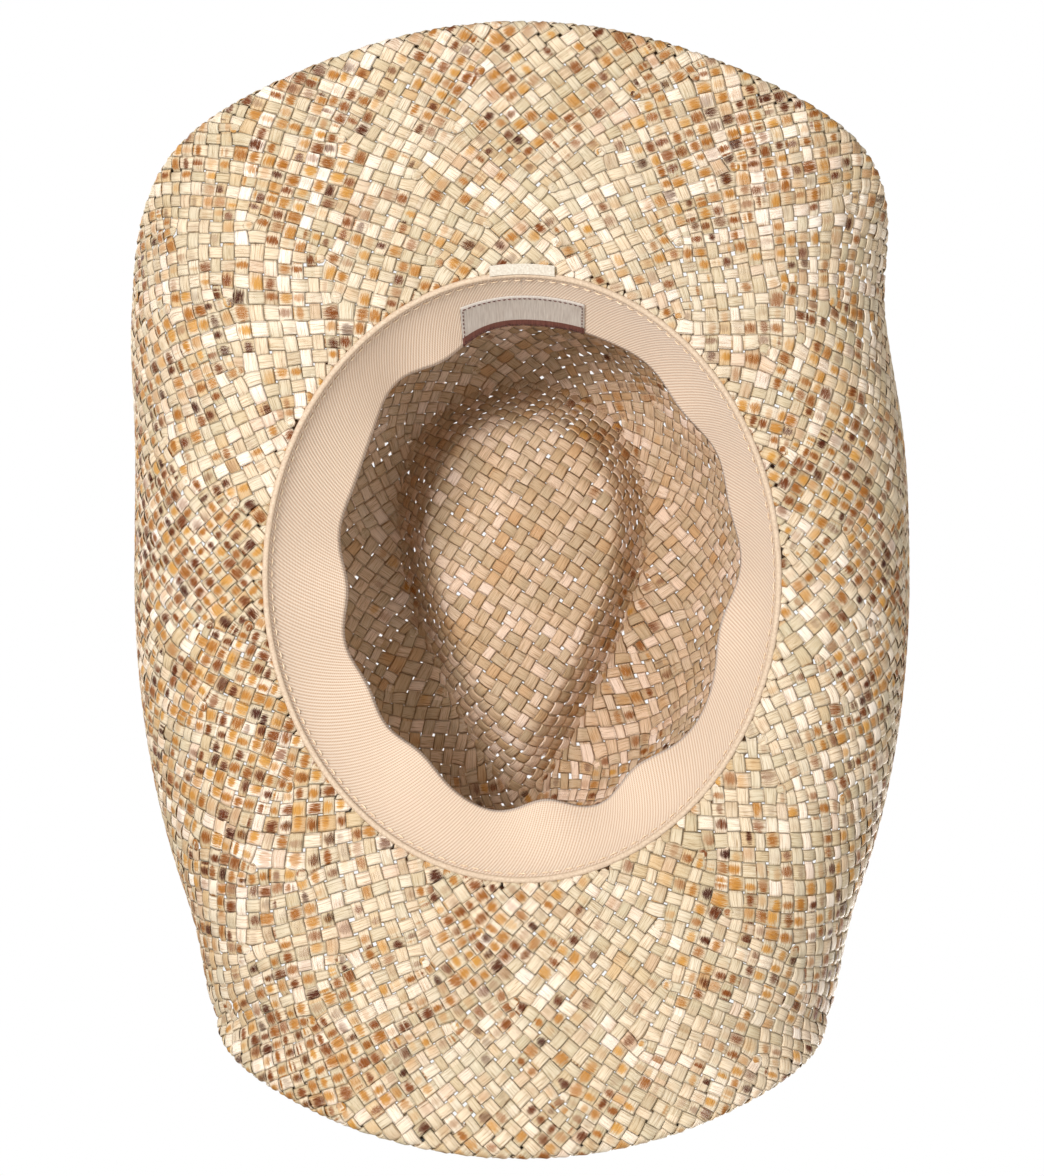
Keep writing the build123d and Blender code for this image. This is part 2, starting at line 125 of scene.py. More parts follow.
def crown_surface(angle, climb):
    """Climb 0 is at the head oval, 1 on the ridge and 2 in the middle of the dent."""
    angle, climb = np.broadcast_arrays(angle, climb)
    flat = np.zeros(angle.shape)
    foot = np.stack([HALF_WIDTH * np.cos(angle), HALF_LENGTH * np.sin(angle), flat], -1)
    taper = 1 + RIDGE_TAPER * np.sin(angle)
    ridge_y = RIDGE_HALF_LENGTH * np.sin(angle) + RIDGE_Y
    ridge = np.stack([RIDGE_HALF_WIDTH * np.cos(angle) * taper, ridge_y, flat], -1)
    height = ridge_height(angle)
    turn = np.clip(climb, 0, 1) * math.pi / 2
    spread = np.maximum(0, np.cos(turn)) ** (2 / SQUARENESS)
    rise = np.sin(turn) ** (2 / SQUARENESS)
    from_front = (angle + math.pi / 2 + math.pi) % (2 * math.pi) - math.pi
    front = np.exp(-(((from_front - 0.75) / 0.4) ** 2)) + np.exp(-(((from_front + 0.75) / 0.4) ** 2))
    wall = ridge + (foot - ridge) * spread[..., None]
    inward = -wall / np.linalg.norm(wall, axis=-1, keepdims=True)
    wall = wall + inward * (PINCH * front * np.sin(math.pi * rise) ** 2)[..., None]
    wall[..., 2] = height * rise - dip(foot[..., 1]) * (1 - rise)
    share = np.clip(climb - 1, 0, 1)
    centre = np.array([0, DENT_Y, 0.0])
    level = height + (CROWN_HEIGHT - height) * blend(share / DENT_FLAT)
    dent = ridge + (centre - ridge) * share[..., None]
    dent[..., 2] = level - DENT_DEPTH * blend(share / DENT_WALL) - DENT_BOWL * blend(share / DENT_FLAT)
    return np.where((climb <= 1)[..., None], wall, dent)


def to_world(points):
    """From mm about the head oval to metres in the frame."""
    return (points + np.array([0, MIDDLE_Y, HEAD_Z])) * MM


def new_piece(name, points, faces, facts=None):
    """Smooth-shaded object from points in mm; facts are its weave coordinates."""
    mesh = bpy.data.meshes.new(name)
    mesh.from_pydata(to_world(points).tolist(), [], faces)
    if facts is not None:
        weave = mesh.attributes.new("weave", "FLOAT_VECTOR", "POINT")
        weave.data.foreach_set("vector", facts.astype(np.float32).ravel())
    mesh.polygons.foreach_set("use_smooth", [True] * len(mesh.polygons))
    mesh.update()
    piece = bpy.data.objects.new(name, mesh)
    bpy.context.scene.collection.objects.link(piece)
    return piece


def finished(piece, material, slot, *nodes):
    """Give a piece its material and body, and hide the CAD nodes that it stands for; slot is not used."""
    piece.data.materials.append(material)
    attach(piece, "root")
    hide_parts(*nodes)
    return piece


# ---------------------------------------------------------------- a surface as a grid of loops
AROUND = 540
TOP_EDGE, CROWN_OVERLAP = 1.03, 1.07  # climbs at which the two weaves of the crown end


class Cloth:
    """Loops round the hat, evenly spaced along each loop from the middle of the back,
    with a coordinate tau that grows outward as fast as the angle grows round."""

    def __init__(self, loops):
        rows = []
        for loop in loops:
            closed = np.vstack([loop, loop[:1]])
            run = np.concatenate([[0], np.cumsum(np.linalg.norm(np.diff(closed, axis=0), axis=1))])
            even = np.linspace(0, run[-1], AROUND + 1)
            rows.append(np.stack([np.interp(even, run, closed[:, k]) for k in range(3)], -1))
        self.points = np.array(rows)
        steps = np.linalg.norm(np.diff(self.points, axis=0), axis=-1).mean(axis=1)
        girth = np.linalg.norm(np.diff(self.points, axis=1), axis=-1).sum(axis=1)
        self.girth = girth
        middle = (girth[1:] + girth[:-1]) / 2
        self.tau = np.concatenate([[0], np.cumsum(steps * 2 * math.pi / middle)])
        onward = np.gradient(self.points, axis=0)
        around = np.gradient(self.points, axis=1)
        around[:, 0] = around[:, -1] = self.points[:, 1] - self.points[:, -2]
        normal = np.cross(onward, around)
        self.normals = normal / np.maximum(1e-9, np.linalg.norm(normal, axis=-1, keepdims=True))

    def at(self, psi, tau):
        """Point and normal at an angle and a tau."""
        row = np.interp(tau, self.tau, np.arange(len(self.tau)))
        column = (psi / (2 * math.pi) % 1) * AROUND
        i, j = np.minimum(row.astype(int), len(self.tau) - 2), np.minimum(column.astype(int), AROUND - 1)
        a, b = (row - i)[..., None], (column - j)[..., None]
        found = []
        for grid in (self.points, self.normals):
            near = grid[i, j] * (1 - b) + grid[i, j + 1] * b
            far = grid[i + 1, j] * (1 - b) + grid[i + 1, j + 1] * b
            found.append(near * (1 - a) + far * a)
        return found


def loop_angles():
    """Angles round the head oval, starting at the middle of the back."""
    return math.pi / 2 + np.linspace(0, 2 * math.pi, 1440, endpoint=False)


def brim_cloth():
    """The brim, its turned edge and the hem that lies back on top of it."""
    angles = loop_angles()
    width = brim_width(angles)
    flat = width - EDGE_ROUND + TUCKED_IN
    loops = [brim_surface(angles, -TUCKED_IN + share * flat) for share in np.linspace(0, 1, 60)]
    edge, before = loops[-1], brim_surface(angles, width - EDGE_ROUND - 0.5)
    outward = edge - before
    outward /= np.linalg.norm(outward, axis=-1, keepdims=True)
    around = np.roll(edge, -1, axis=0) - np.roll(edge, 1, axis=0)
    up = np.cross(outward, around)
    up /= np.linalg.norm(up, axis=-1, keepdims=True)
    for turn in np.linspace(0, math.pi, 9)[1:]:
        loops.append(edge + EDGE_ROUND * (outward * math.sin(turn) + up * (1 - math.cos(turn))))
    for inset in np.linspace(0, HEM_WIDTH - EDGE_ROUND, 7)[1:]:
        settle = 2 * EDGE_ROUND - (2 * EDGE_ROUND - STRAW) * blend(inset / 5)
        base = brim_surface(angles, width - EDGE_ROUND - inset)
        loops.append(base + up * settle)
    return Cloth(loops)


def crown_cloth():
    """The crown from just inside its ridge down to the brim."""
    angles = loop_angles()
    climbs = np.concatenate([np.linspace(CROWN_OVERLAP, 1, 5)[:-1], np.linspace(1, 0.012, 70)])
    return Cloth([crown_surface(angles, climb) for climb in climbs])


# ---------------------------------------------------------------- weave
SAMPLE = 0.25  # crossings between points along a strip
SETTLING_PASSES = 14
BEGIN = 0.42  # pitches from a dislocation to where its new strips are in place
WIDEST = 1.7  # most that a strip spreads near a dislocation, in pitches
LONGEST = 1.6  # longest step along a strip near one
STRIP_HALVES = [0.37, 0.42, 0.45, 0.48, 0.50, 0.53]  # half widths of strips, in pitches
STRIP_END = 0.55  # share of its width that a strip keeps at its ends
SLOW_STRAY, QUICK_STRAY = 0.07, 0.03  # how far strips stray sideways, in pitches
LEFT_ID = 500.0  # keeps the two families' numbers apart
TUCK = np.arange(-4, 0) * 0.22  # pitches that they run back under their neighbours


class Weave:
    """Two families of strips at 45 degrees to the loops. Pairs of strips are added as the
    loops grow, so that the strips keep their width: each is a dislocation of the grid."""

    def __init__(self, cloth, pitch, seed):
        self.cloth = cloth
        rng = random.Random(seed)
        counts = cloth.girth * math.sqrt(0.5) / pitch
        self.start = int(round(counts[0]))
        growth = np.maximum.accumulate(counts)
        self.extra = []
        golden = (math.sqrt(5) - 1) / 2
        for k in range(int(growth[-1]) - self.start):
            tau = float(np.interp(self.start + k + 0.5, growth, cloth.tau))
            psi = 2 * math.pi * ((k * golden + rng.uniform(-0.02, 0.02)) % 1)
            if cloth.tau[1] < tau < cloth.tau[-1]:
                self.extra.append(complex(psi, tau))
        self.counts = growth
        for _ in range(SETTLING_PASSES):
            for k in range(len(self.extra)):
                self.settle(k)

    def seeds(self, core):
        """Where a dislocation's two new strips begin, a little outward along each diagonal."""
        count = np.interp(core.imag, self.cloth.tau, self.counts)
        near = BEGIN * math.sqrt(2) * math.pi / count
        return core + near * (1 + 1j) / math.sqrt(2), core + near * (-1 + 1j) / math.sqrt(2)

    def settle(self, k):
        """Shift a dislocation so that both its new strips begin in the middle of their places."""
        core = self.extra[k]
        left, right = self.seeds(core)
        miss = complex(self.phase(left).real % 1 - 0.5, self.phase(right).imag % 1 - 0.5)
        others = self.slope(np.array([core]), without=k)[0]
        self.extra[k] = core - 0.7 * miss / others

    def slope(self, zeta, without=None):
        total = np.full(zeta.shape, self.start, dtype=complex)
        for k, core in enumerate(self.extra):
            if k != without:
                total += 1 / (1 - np.exp(1j * (zeta - core)))
        total /= 2 * math.pi
        return (1 + 1j) * total

    def phase(self, zeta):
        total = self.start * zeta
        for core in self.extra:
            total = total + 1j * np.log(1 - np.exp(-1j * (zeta - core)))
        return (1 + 1j) * total / (2 * math.pi)

    def strips(self, left):
        """Complex positions along each strip, and whether it starts at a dislocation."""
        inner, outer = self.cloth.tau[0] + 1e-6, self.cloth.tau[-1]
        fine = np.linspace(0, 2 * math.pi, 40 * self.start + 1)
        edge = self.phase(fine + 1j * inner)
        value = edge.real if left else edge.imag
        hits = np.nonzero(np.diff(np.floor(value - 0.5)))[0]
        begins = [self.seeds(core)[0 if left else 1] for core in self.extra]
        zeta = np.array([*(fine[hits] + 1j * inner), *begins])
        onward = 1j if left else -1.0
        most = LONGEST / self.start * math.sqrt(2) * math.pi
        alive = np.ones(len(zeta), bool)
        rows, masks = [], []

        def step(z):
            move = onward / self.slope(z)
            return move * np.minimum(1, most / np.maximum(np.abs(move), 1e-12))

        while alive.any() and len(rows) < 400:
            rows.append(zeta.copy())
            masks.append(alive.copy())
            middle = zeta + SAMPLE / 2 * step(zeta)
            zeta = np.where(alive, zeta + SAMPLE * step(middle), zeta)
            alive = alive & (zeta.imag < outer)
        rows, masks = np.array(rows), np.array(masks)
        found = [rows[masks[:, k], k] for k in range(rows.shape[1])]
        return [(z, k >= len(hits)) for k, z in enumerate(found) if len(z) > 4]


SECTION = [(-1.0, 0.0), (-0.62, 0.5), (0.0, 0.62), (0.62, 0.5), (1.0, 0.0), (0.62, -0.5), (-0.62, -0.5)]


def plateau(wave):
    return np.tanh(1.3 * wave) / math.tanh(1.3)


def ribbons(name, rows, reach, place, wave, along, ids, half):
    """Mesh of strips: rows are positions along each strip and reach its sideways direction at
    them, place maps positions to points and normals, wave is over (+1) or under (-1), and
    along counts crossings."""
    verts, faces, facts = [], [], []
    ring = len(SECTION)
    base = 0
    for s in range(len(rows)):
        n = len(rows[s])
        block = np.zeros((n, ring, 3))
        across = np.zeros((n, ring, 3))
        taper = np.ones(n)
        taper[0] = taper[-1] = STRIP_END
        for c, (u, v) in enumerate(SECTION):
            point, normal = place(rows[s] + u * half[s] * taper * reach[s])
            rise = wave[s] * STRIP_LIFT + v * STRIP_THICKNESS
            block[:, c] = point + normal * rise[:, None]
            across[:, c, 0] = along[s]
            across[:, c, 1] = ids[s]
            across[:, c, 2] = u
        verts.append(block.reshape(-1, 3))
        facts.append(across.reshape(-1, 3))
        k = base + np.arange(n - 1)[:, None] * ring + np.arange(ring)[None, :]
        k2 = base + np.arange(n - 1)[:, None] * ring + (np.arange(ring)[None, :] + 1) % ring
        faces.append(np.stack([k, k2, k2 + ring, k + ring], -1).reshape(-1, 4))
        base += n * ring
    verts, faces, facts = np.vstack(verts), np.vstack(faces), np.vstack(facts)
    ends = []
    base = 0
    for row in rows:
        ends.append([base + c for c in reversed(range(ring))])
        ends.append([base + (len(row) - 1) * ring + c for c in range(ring)])
        base += len(row) * ring
    return new_piece(name, verts, faces[:, ::-1].tolist() + [end[::-1] for end in ends], facts)


def wander(count, rng):
    """How far a strip strays from its place, in pitches, at each of its points."""
    steps = np.arange(count)
    slow = np.sin(steps * rng.uniform(0.07, 0.13) + rng.uniform(0, 7))
    quick = np.sin(steps * rng.uniform(0.35, 0.6) + rng.uniform(0, 7))
    return SLOW_STRAY * slow + QUICK_STRAY * quick


def woven_family(name, weave, left, seed):
    """One family of strips, as two pieces that take turns."""
    rng = random.Random(seed)
    cloth = weave.cloth
    side = 1 if left else 1j
    widest = WIDEST * math.sqrt(2) * math.pi / weave.start
    rows, reaches, waves, alongs, ids, halves = [], [], [], [], [], []
    for s, (z, new) in enumerate(weave.strips(left)):
        phase = weave.phase(z)
        mine, other = (phase.real, phase.imag) if left else (phase.imag, phase.real)
        sign = 1 - 2 * (np.floor(mine).astype(int) % 2)
        wave = plateau(sign * np.sin(math.pi * other) * (1 if left else -1))
        ahead = other if left else -other
        along = ahead - math.floor(ahead[0])
        reach = side / weave.slope(z)
        reach = reach * np.minimum(1, widest / np.maximum(np.abs(reach), 1e-12))
        z = z + wander(len(z), rng) * reach
        if new:
            # this strip runs back under its neighbours
            onward = -1j * reach[2] if left else 1j * reach[2]
            onward = onward * np.sign((onward * np.conj(z[2] - z[0])).real)
            z = np.concatenate([z[0] + TUCK * onward, z])
            reach = np.concatenate([np.full(len(TUCK) + 2, reach[2]), reach[2:]])
            wave = np.concatenate([np.full(len(TUCK), -1.0), wave])
            along = np.concatenate([along[0] + TUCK, along]) + 1
        rows.append(z)
        reaches.append(reach)
        waves.append(wave)
        alongs.append(along)
        ids.append(s + (LEFT_ID if left else 0.0))
        halves.append(rng.choice(STRIP_HALVES))

    def place(spot):
        return cloth.at(spot.real, spot.imag)

    pieces = []
    for k, turn in enumerate(("_odd", "_even")):
        half = [what[k::2] for what in (rows, reaches, waves, alongs, ids, halves)]
        pieces.append(ribbons(name + turn, half[0], half[1], place, *half[2:]))
    return pieces


class DentTop:
    """The creased top inside the ridge, as a flat disc with lengths kept along its radii."""

    ROWS = 90

    def __init__(self):
        angles = loop_angles()
        climbs = TOP_EDGE + np.linspace(2 - TOP_EDGE, 0, 120)
        points = np.array([crown_surface(angles, climb) for climb in climbs])
        steps = np.linalg.norm(np.diff(points, axis=0), axis=-1)
        run = np.vstack([np.zeros(len(angles)), np.cumsum(steps, axis=0)])
        spoke = points[-1] - points[0].mean(axis=0)
        self.heading = np.unwrap(np.arctan2(spoke[:, 1], spoke[:, 0]))
        self.reach = run[-1]
        even = np.linspace(0, 1, self.ROWS)
        self.points = np.zeros((self.ROWS, len(angles), 3))
        for j in range(len(angles)):
            for k in range(3):
                self.points[:, j, k] = np.interp(even * run[-1, j], run[:, j], points[:, j, k])

    def at(self, flat):
        """Point at flat complex positions, and how far the disc reaches that way."""
        count = len(self.heading)
        order = (np.angle(flat) - self.heading[0]) % (2 * math.pi)
        column = np.interp(order, self.heading - self.heading[0], np.arange(count))
        j = column.astype(int)
        b = (column - j)[..., None]
        k = (j + 1) % count
        edge = self.reach[j]
        row = np.clip(np.abs(flat) / edge, 0, 1) * (self.ROWS - 1)
        i = np.minimum(row.astype(int), self.ROWS - 2)
        a = (row - i)[..., None]
        near = self.points[i, j] * (1 - b) + self.points[i, k] * b
        far = self.points[i + 1, j] * (1 - b) + self.points[i + 1, k] * b
        return near * (1 - a) + far * a, edge


TOP_STRIPS = 26  # strips on each side of the middle
TOP_PITCH = STRIP_PITCH * 1.04
TOP_HALVES = [0.38, 0.43, 0.46, 0.49, 0.51]
TOP_IDS = (1300.0, 900.0)  # across and along the hat
FEWEST_POINTS = 6  # shorter strips are left out


def top_weave(name, left, dent, seed):
    """Square weave over the creased top; its grid is turned to the hat's long axis."""
    rng = random.Random(seed)
    turn = complex(math.cos(math.radians(GRID_TURN)), math.sin(math.radians(GRID_TURN)))
    rows, waves, alongs, ids, halves = [], [], [], [], []
    sideways = (1j if left else 1) * turn
    for k in range(-TOP_STRIPS, TOP_STRIPS + 1):
        t = np.arange(-TOP_STRIPS, TOP_STRIPS, SAMPLE)
        flat = (t + 1j * (k + 0.5)) if left else ((k + 0.5) + 1j * t)
        spot = flat * TOP_PITCH * turn
        _, edge = dent.at(spot)
        keep = np.abs(spot) < edge
        if keep.sum() < FEWEST_POINTS:
            continue
        spot, flat = spot[keep], flat[keep]
        mine, other = (flat.imag, flat.real) if left else (flat.real, flat.imag)
        sign = 1 - 2 * (np.floor(mine).astype(int) % 2)
        rows.append(spot + wander(len(spot), rng) * TOP_PITCH * (1j if left else 1) * turn)
        waves.append(plateau(sign * np.sin(math.pi * other) * (1 if left else -1)))
        alongs.append(other + 50)
        ids.append(k + TOP_IDS[left])
        halves.append(TOP_PITCH * rng.choice(TOP_HALVES))
    reaches = [np.full(len(row), sideways) for row in rows]

    def place(spot):
        point, _ = dent.at(spot)
        ahead, _ = dent.at(spot + 0.4)
        beside, _ = dent.at(spot + 0.4j)
        normal = np.cross(ahead - point, beside - point)
        normal /= np.maximum(1e-9, np.linalg.norm(normal, axis=-1, keepdims=True))
        return point, normal

    return ribbons(name, rows, reaches, place, waves, alongs, ids, halves)


# ---------------------------------------------------------------- materials
def srgb(r, g, b):
    def linear(c):
        c /= 255
        return c / 12.92 if c <= 0.04045 else ((c + 0.055) / 1.055) ** 2.4

    return (linear(r), linear(g), linear(b), 1.0)


class Nodes:
    """Small helper for building a material's node tree."""

    def __init__(self, name, roughness):
        self.material = bpy.data.materials.new(name)
        self.material.use_nodes = True
        self.tree = self.material.node_tree
        self.shader = self.tree.nodes["Principled BSDF"]
        self.shader.inputs["Roughness"].default_value = roughness

    def add(self, kind, inputs=None, **settings):
        node = self.tree.nodes.new(kind)
        for key, value in settings.items():
            setattr(node, key, value)
        for key, value in (inputs or {}).items():
            if isinstance(value, bpy.types.NodeSocket):
                self.tree.links.new(value, node.inputs[key])
            else:
                node.inputs[key].default_value = value
        return node

    def maths(self, operation, a, b=0.0, clamp=False):
        return self.add("ShaderNodeMath", {0: a, 1: b}, operation=operation, use_clamp=clamp).outputs[0]

    def ramp(self, value, stops):
        node = self.add("ShaderNodeValToRGB", {"Fac": value})
        ramp = node.color_ramp
        while len(ramp.elements) < len(stops):
            ramp.elements.new(0.5)
        for element, (place, colour) in zip(ramp.elements, stops):
            element.position = place
            element.color = colour
        return node.outputs["Color"]

    def mix(self, share, a, b, kind="MIX"):
        node = self.add("ShaderNodeMix", {0: share, 6: a, 7: b}, data_type="RGBA", blend_type=kind)
        return node.outputs[2]

    def link(self, socket, name):
        self.tree.links.new(socket, self.shader.inputs[name])

    def bump(self, height, strength, distance):
        node = self.add("ShaderNodeBump", {"Height": height, "Strength": strength, "Distance": distance})
        self.link(node.outputs["Normal"], "Normal")


def straw_material(name, toast, tint):
    """Flat strips of seagrass; toast is how much of the weave is browned, from 0 to 1."""
    n = Nodes(name, 0.42)
    weave = n.add("ShaderNodeAttribute", attribute_name="weave").outputs["Vector"]
    parts = n.add("ShaderNodeSeparateXYZ", {0: weave})
    along, strip, across = parts.outputs[0], parts.outputs[1], parts.outputs[2]
    cell = n.maths("FLOOR", along)
    cell_key = n.add("ShaderNodeCombineXYZ", {0: cell, 1: strip, 2: 3.0}).outputs[0]
    cell_random = n.add("ShaderNodeTexWhiteNoise", {"Vector": cell_key}, noise_dimensions="3D")
    strip_random = n.add("ShaderNodeTexWhiteNoise", {"W": strip}, noise_dimensions="1D")
    place = n.add("ShaderNodeTexCoord").outputs["Object"]

    # colour of the straw, by strip and by stretch of strip
    dice = n.add("ShaderNodeSeparateXYZ", {0: cell_random.outputs["Color"]})
    amount, tone, size = dice.outputs[0], dice.outputs[1], dice.outputs[2]
    slow_along = n.maths("MULTIPLY", along, 0.13)
    slow_key = n.add("ShaderNodeCombineXYZ", {0: slow_along, 1: strip, 2: 0.0}).outputs[0]
    slow = n.add("ShaderNodeTexNoise", {"Vector": slow_key, "Scale": 1.0, "Detail": 1.0}).outputs["Fac"]
    mixed = n.maths("ADD", n.maths("MULTIPLY", strip_random.outputs["Value"], 0.42),
                    n.maths("MULTIPLY", n.maths("SUBTRACT", 1.0, amount), 0.16))
    mixed = n.maths("ADD", mixed, n.maths("MULTIPLY", slow, 0.56))
    base = n.ramp(mixed, [
        (0.20, srgb(188, 148, 100)),
        (0.32, srgb(214, 188, 146)),
        (0.44, srgb(200, 190, 160)),
        (0.55, srgb(232, 216, 188)),
        (0.65, srgb(210, 201, 174)),
        (0.75, srgb(245, 234, 214)),
        (0.92, srgb(255, 252, 244)),
    ])
    base = n.mix(1.0, base, tint, "MULTIPLY")

    # fibres along the strip, a dark split in some of them, and painted shade along the strips' edges and
    # where each strip dives under the one that crosses it
    fibre_key = n.add("ShaderNodeCombineXYZ", {0: n.maths("MULTIPLY", along, 0.6),
                                               1: n.maths("MULTIPLY", across, 5.5), 2: strip}).outputs[0]
    fibre = n.add("ShaderNodeTexNoise", {"Vector": fibre_key, "Scale": 1.6, "Detail": 3.0}).outputs["Fac"]
    shade = n.ramp(fibre, [
        (0.30, srgb(176, 150, 116)),
        (0.46, srgb(240, 232, 220)),
        (0.7, srgb(255, 255, 255)),
    ])
    base = n.mix(0.8, base, shade, "MULTIPLY")
    split_at = n.maths("SUBTRACT", n.maths("MULTIPLY", strip_random.outputs["Value"], 2.4), 1.2)
    from_split = n.maths("ABSOLUTE", n.maths("SUBTRACT", across, split_at))
    split = n.maths("SUBTRACT", 1.0, n.maths("MULTIPLY", 14.0, from_split), clamp=True)
    # painted shade: darker along each strip's edges and towards the ends of each raised cell, where it dives
    # under; mixed with the real split into one brown
    painted_edge_shade = n.maths("MULTIPLY", n.maths("POWER", n.maths("ABSOLUTE", across), 9.0), 0.12)
    off = n.maths("ABSOLUTE", n.maths("SUBTRACT", n.maths("FRACT", along), 0.5))
    painted_dive_shade = n.maths("MULTIPLY", n.maths("SUBTRACT", off, 0.43), 3.0, clamp=True)
    dark = n.maths("ADD", n.maths("MULTIPLY", split, 0.5), n.maths("ADD", painted_edge_shade, painted_dive_shade), clamp=True)
    base = n.mix(dark, base, srgb(132, 98, 62))
    toasted = n.maths("MULTIPLY", n.maths("SUBTRACT", slow, 0.54), 5.0 * toast, clamp=True)
    base = n.mix(toasted, base, srgb(196, 152, 100), "MULTIPLY")

    # toasted spots near the middle of the raised cells: amber, some brown, few maroon
    warp = n.add("ShaderNodeTexNoise", {"Vector": fibre_key, "Scale": 3.4, "Detail": 2.0}).outputs["Fac"]
    squash = n.maths("ADD", 1.5, n.maths("MULTIPLY", size, 2.2))
    middle = n.maths("ADD", 0.38, n.maths("MULTIPLY", size, 0.24))
    from_middle = n.maths("SUBTRACT", n.maths("FRACT", along), middle)
    from_centre = n.maths("ADD", across, n.maths("MULTIPLY", n.maths("SUBTRACT", tone, 0.5), 0.7))
    far = n.maths("ADD", n.maths("POWER", n.maths("MULTIPLY", n.maths("ABSOLUTE", from_middle), squash), 2.0),
                  n.maths("POWER", n.maths("MULTIPLY", n.maths("ABSOLUTE", from_centre), 0.95), 2.0))
    far = n.maths("ADD", far, n.maths("MULTIPLY", n.maths("SUBTRACT", warp, 0.5), 3.4))
    region = n.add("ShaderNodeTexNoise", {"Vector": place, "Scale": 17.0, "Detail": 3.0}).outputs["Fac"]
    lot = n.maths("ADD", amount, n.maths("MULTIPLY", n.maths("SUBTRACT", region, 0.5), 3.0))
    strength = n.maths("MULTIPLY", n.maths("SUBTRACT", lot, 1.0 - toast), 3.2, clamp=True)
    inside = n.maths("MULTIPLY", n.maths("SUBTRACT", 1.05, far), 1.5, clamp=True)
    spot = n.maths("MULTIPLY", inside, strength)
    amber = n.ramp(tone, [
        (0.0, srgb(202, 150, 74)),
        (0.40, srgb(176, 116, 46)),
        (0.70, srgb(144, 82, 30)),
        (0.90, srgb(110, 54, 20)),
        (0.99, srgb(82, 34, 14)),
    ])
    amber = n.mix(0.7, amber, shade, "MULTIPLY")
    deep = n.mix(n.maths("MULTIPLY", spot, 0.7), amber, srgb(150, 88, 40), "MULTIPLY")
    tinted = n.mix(n.maths("MULTIPLY", spot, n.maths("MULTIPLY", tone, 0.75)), amber, deep)
    colour = n.mix(spot, base, tinted)
    n.link(colour, "Base Color")
    n.link(n.maths("ADD", 0.34, n.maths("MULTIPLY", fibre, 0.35)), "Roughness")
    n.bump(n.maths("SUBTRACT", fibre, n.maths("MULTIPLY", split, 0.8)), 0.45, 0.0004)
    n.shader.inputs["Specular IOR Level"].default_value = 0.12
    return n.material


def twill_material(name, colour, groove_shade):
    """Cotton twill tape: fine slanted ribs across its width."""
    n = Nodes(name, 0.85)
    weave = n.add("ShaderNodeAttribute", attribute_name="weave").outputs["Vector"]
    parts = n.add("ShaderNodeSeparateXYZ", {0: weave})
    along, up = parts.outputs[0], parts.outputs[1]
    slant = n.maths("ADD", n.maths("MULTIPLY", along, 1 / 1.25), n.maths("MULTIPLY", up, 0.42))
    wave = n.maths("SINE", n.maths("MULTIPLY", slant, 2 * math.pi))
    cross = n.maths("SINE", n.maths("MULTIPLY", up, 2 * math.pi / 0.62))
    ribs = n.maths("ADD", n.maths("MULTIPLY", wave, 0.30), n.maths("MULTIPLY", cross, 0.16))
    grain = n.add("ShaderNodeTexNoise", {"Vector": weave, "Scale": 3.0, "Detail": 4.0}).outputs["Fac"]
    rough = n.maths("MULTIPLY", n.maths("SUBTRACT", grain, 0.5), 0.35)
    height = n.maths("ADD", ribs, n.maths("ADD", 0.5, rough))
    # painted shade and highlight: the ribs' low parts take the darker groove colour and their crests a paler
    # cream, as light would fall on them
    n.link(n.ramp(height, [(0.12, groove_shade), (0.55, colour), (0.95, srgb(236, 218, 198))]), "Base Color")
    n.bump(height, 0.5, 0.0003)
    n.shader.inputs["Sheen Weight"].default_value = 0.25
    return n.material


def label_material():
    """Blank grey satin with a maroon woven edge along its free side."""
    n = Nodes("satin_label", 0.45)
    weave = n.add("ShaderNodeAttribute", attribute_name="weave").outputs["Vector"]
    parts = n.add("ShaderNodeSeparateXYZ", {0: weave})
    fine = n.maths("SINE", n.maths("MULTIPLY", parts.outputs[0], 2 * math.pi / 0.35))
    grain = n.add("ShaderNodeTexNoise", {"Vector": weave, "Scale": 2.5, "Detail": 3.0}).outputs["Fac"]
    value = n.maths("ADD", n.maths("MULTIPLY", fine, 0.06), grain)
    grey = n.ramp(value, [(0.3, srgb(176, 164, 154)), (0.7, srgb(206, 198, 188))])
    maroon = n.ramp(value, [(0.3, srgb(84, 44, 40)), (0.7, srgb(122, 76, 66))])
    stripe = n.maths("GREATER_THAN", parts.outputs[1], 0.80)
    n.link(n.mix(stripe, grey, maroon), "Base Color")
    n.bump(value, 0.2, 0.0002)
    return n.material


def thread_material(name, dark, light):
    """Twisted cotton, with painted shade darkening it between its twists."""
    n = Nodes(name, 0.7)
    place = n.add("ShaderNodeTexCoord").outputs["Object"]
    twist = n.add("ShaderNodeTexNoise", {"Vector": place, "Scale": 1400.0, "Detail": 2.0}).outputs["Fac"]
    # the ramp from dark to light is painted shade between the twists
    n.link(n.ramp(twist, [(0.3, dark), (0.7, light)]), "Base Color")
    n.bump(twist, 0.4, 0.0002)
    return n.material


def leather_material():
    """Brown leather with a pebbled grain and cloudy colour."""
    n = Nodes("strap_leather", 0.5)
    place = n.add("ShaderNodeTexCoord").outputs["Object"]
    cells = n.add("ShaderNodeTexVoronoi", {"Vector": place, "Scale": 900.0}).outputs["Distance"]
    cloud = n.add("ShaderNodeTexNoise", {"Vector": place, "Scale": 60.0, "Detail": 5.0}).outputs["Fac"]
    browns = [(0.3, srgb(72, 40, 24)), (0.55, srgb(104, 62, 38)), (0.8, srgb(134, 86, 54))]
    n.link(n.ramp(cloud, browns), "Base Color")
    n.link(n.maths("ADD", 0.38, n.maths("MULTIPLY", cloud, 0.25)), "Roughness")
    n.bump(cells, 0.5, 0.0003)
    return n.material


